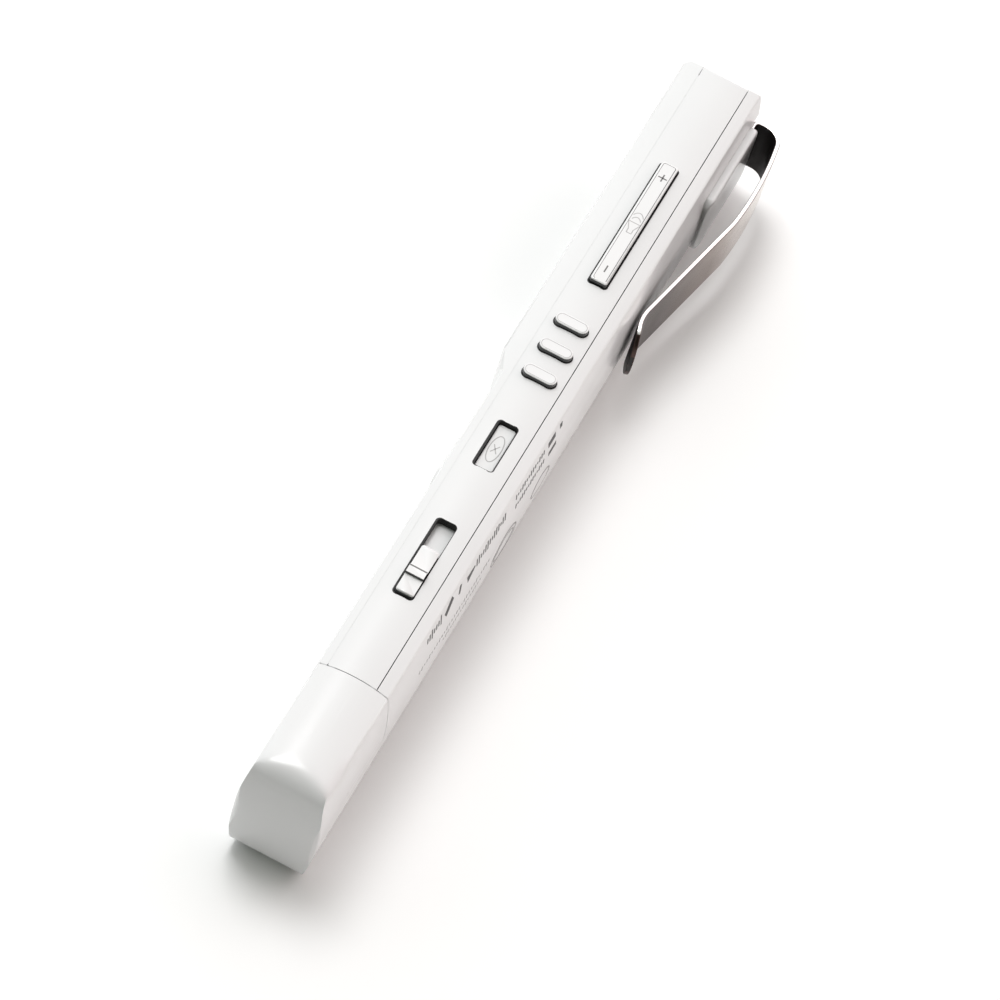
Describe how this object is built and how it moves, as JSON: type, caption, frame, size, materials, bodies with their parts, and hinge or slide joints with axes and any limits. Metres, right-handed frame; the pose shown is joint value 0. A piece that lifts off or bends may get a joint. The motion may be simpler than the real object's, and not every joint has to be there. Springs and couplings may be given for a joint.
{
  "type": "digital voice recorder",
  "caption": "Slim stick voice recorder with crowned white covers, side keys, sliding mode knob, pull-off plug cap, display window and sprung steel pocket clip.",
  "frame": {"origin": "under the middle of the stick, on the narrow side it rests on", "axes": "+X towards the pull-off cap, +Y towards the clip, -Y towards the display, +Z towards the side keys"},
  "size_m": [0.13, 0.0179, 0.0199],
  "materials": {
    "white_shell": "glossy white enamelled plastic, lightly worn at the edges",
    "white_key": "glossy white moulded plastic",
    "clip_steel": "polished spring steel strip",
    "plug_steel": "drawn steel",
    "screw_steel": "zinc-plated steel",
    "contact_gold": "gold-plated contacts",
    "liner_plastic": "light grey plastic",
    "tongue_plastic": "black plastic",
    "board_green": "green board lacquer",
    "switch_body": "grey plastic switch bodies",
    "chip_black": "black moulded chip packages",
    "cell_foil": "foil pouch",
    "foam_rubber": "black foam and rubber",
    "capsule_metal": "drawn aluminium can",
    "mesh_black": "black dust mesh",
    "jack_black": "black plastic jack body",
    "display_glass": "dark tinted clear plastic window",
    "display_dark": "grey display panel",
    "light_clear": "tinted light guide"
  },
  "bodies": {
    "case": {"front_cover": "white_shell", "back_cover": "white_shell", "mid_frame": "white_shell", "clip_block": "white_shell", "clip_root": "clip_steel", "usb_shell": "plug_steel", "crystal": "plug_steel", "clip_screws": "screw_steel", "board_screws": "screw_steel", "usb_contacts": "contact_gold", "usb_tongue": "tongue_plastic", "main_board": "board_green", "key_board": "board_green", "key_switches": "switch_body", "record_switch": "switch_body", "mode_switch": "switch_body", "controller_chip": "chip_black", "memory_chip": "chip_black", "codec_chip": "chip_black", "battery_cell": "cell_foil", "battery_pad": "foam_rubber", "microphone_boot": "foam_rubber", "microphone": "capsule_metal", "speaker": "capsule_metal", "speaker_mesh": "mesh_black", "earphone_jack": "jack_black", "display_window": "display_glass", "display_module": "display_dark", "light_pipe": "light_clear", "status_led": "light_clear"},
    "cap": {"usb_cap": "white_shell", "cap_liner": "liner_plastic"},
    "clip": {"clip_arm": "clip_steel"},
    "knob": {"mode_knob": "white_key"},
    "rocker": {"volume_rocker": "white_key", "rocker_pin": "screw_steel"},
    "forward_key": {"forward_button": "white_key"},
    "play_key": {"play_button": "white_key"},
    "rewind_key": {"rewind_button": "white_key"},
    "delete_key": {"delete_button": "white_key"},
    "record_key": {"record_button": "white_key"}
  },
  "joints": [
    {"name": "cap_pull", "type": "slide", "parent": "case", "child": "cap", "axis": [1, 0, 0], "range_m": [0, 0.03]},
    {"name": "clip_open", "type": "hinge", "parent": "case", "child": "clip", "pos_m": [-0.06405, 0.0067, 0.00955], "axis": [0, 0, 1], "range_deg": [0, 8], "stiffness_Nm_per_rad": 0.6},
    {"name": "mode_slide", "type": "slide", "parent": "case", "child": "knob", "axis": [-1, 0, 0], "range_m": [0, 0.0049]},
    {"name": "volume_rock", "type": "hinge", "parent": "case", "child": "rocker", "pos_m": [-0.03465, -0.00055, 0.0167], "axis": [0, 1, 0], "range_deg": [-1.5, 1.5], "stiffness_Nm_per_rad": 0.2},
    {"name": "forward_press", "type": "slide", "parent": "case", "child": "forward_key", "axis": [0, 0, -1], "range_m": [0, 0.0003], "stiffness_N_per_m": 400},
    {"name": "play_press", "type": "slide", "parent": "case", "child": "play_key", "axis": [0, 0, -1], "range_m": [0, 0.0003], "stiffness_N_per_m": 400},
    {"name": "rewind_press", "type": "slide", "parent": "case", "child": "rewind_key", "axis": [0, 0, -1], "range_m": [0, 0.0003], "stiffness_N_per_m": 400},
    {"name": "delete_press", "type": "slide", "parent": "case", "child": "delete_key", "axis": [0, 0, -1], "range_m": [0, 0.0003], "stiffness_N_per_m": 400},
    {"name": "record_press", "type": "slide", "parent": "case", "child": "record_key", "axis": [0, 1, 0], "range_m": [0, 0.0003], "stiffness_N_per_m": 400}
  ]
}
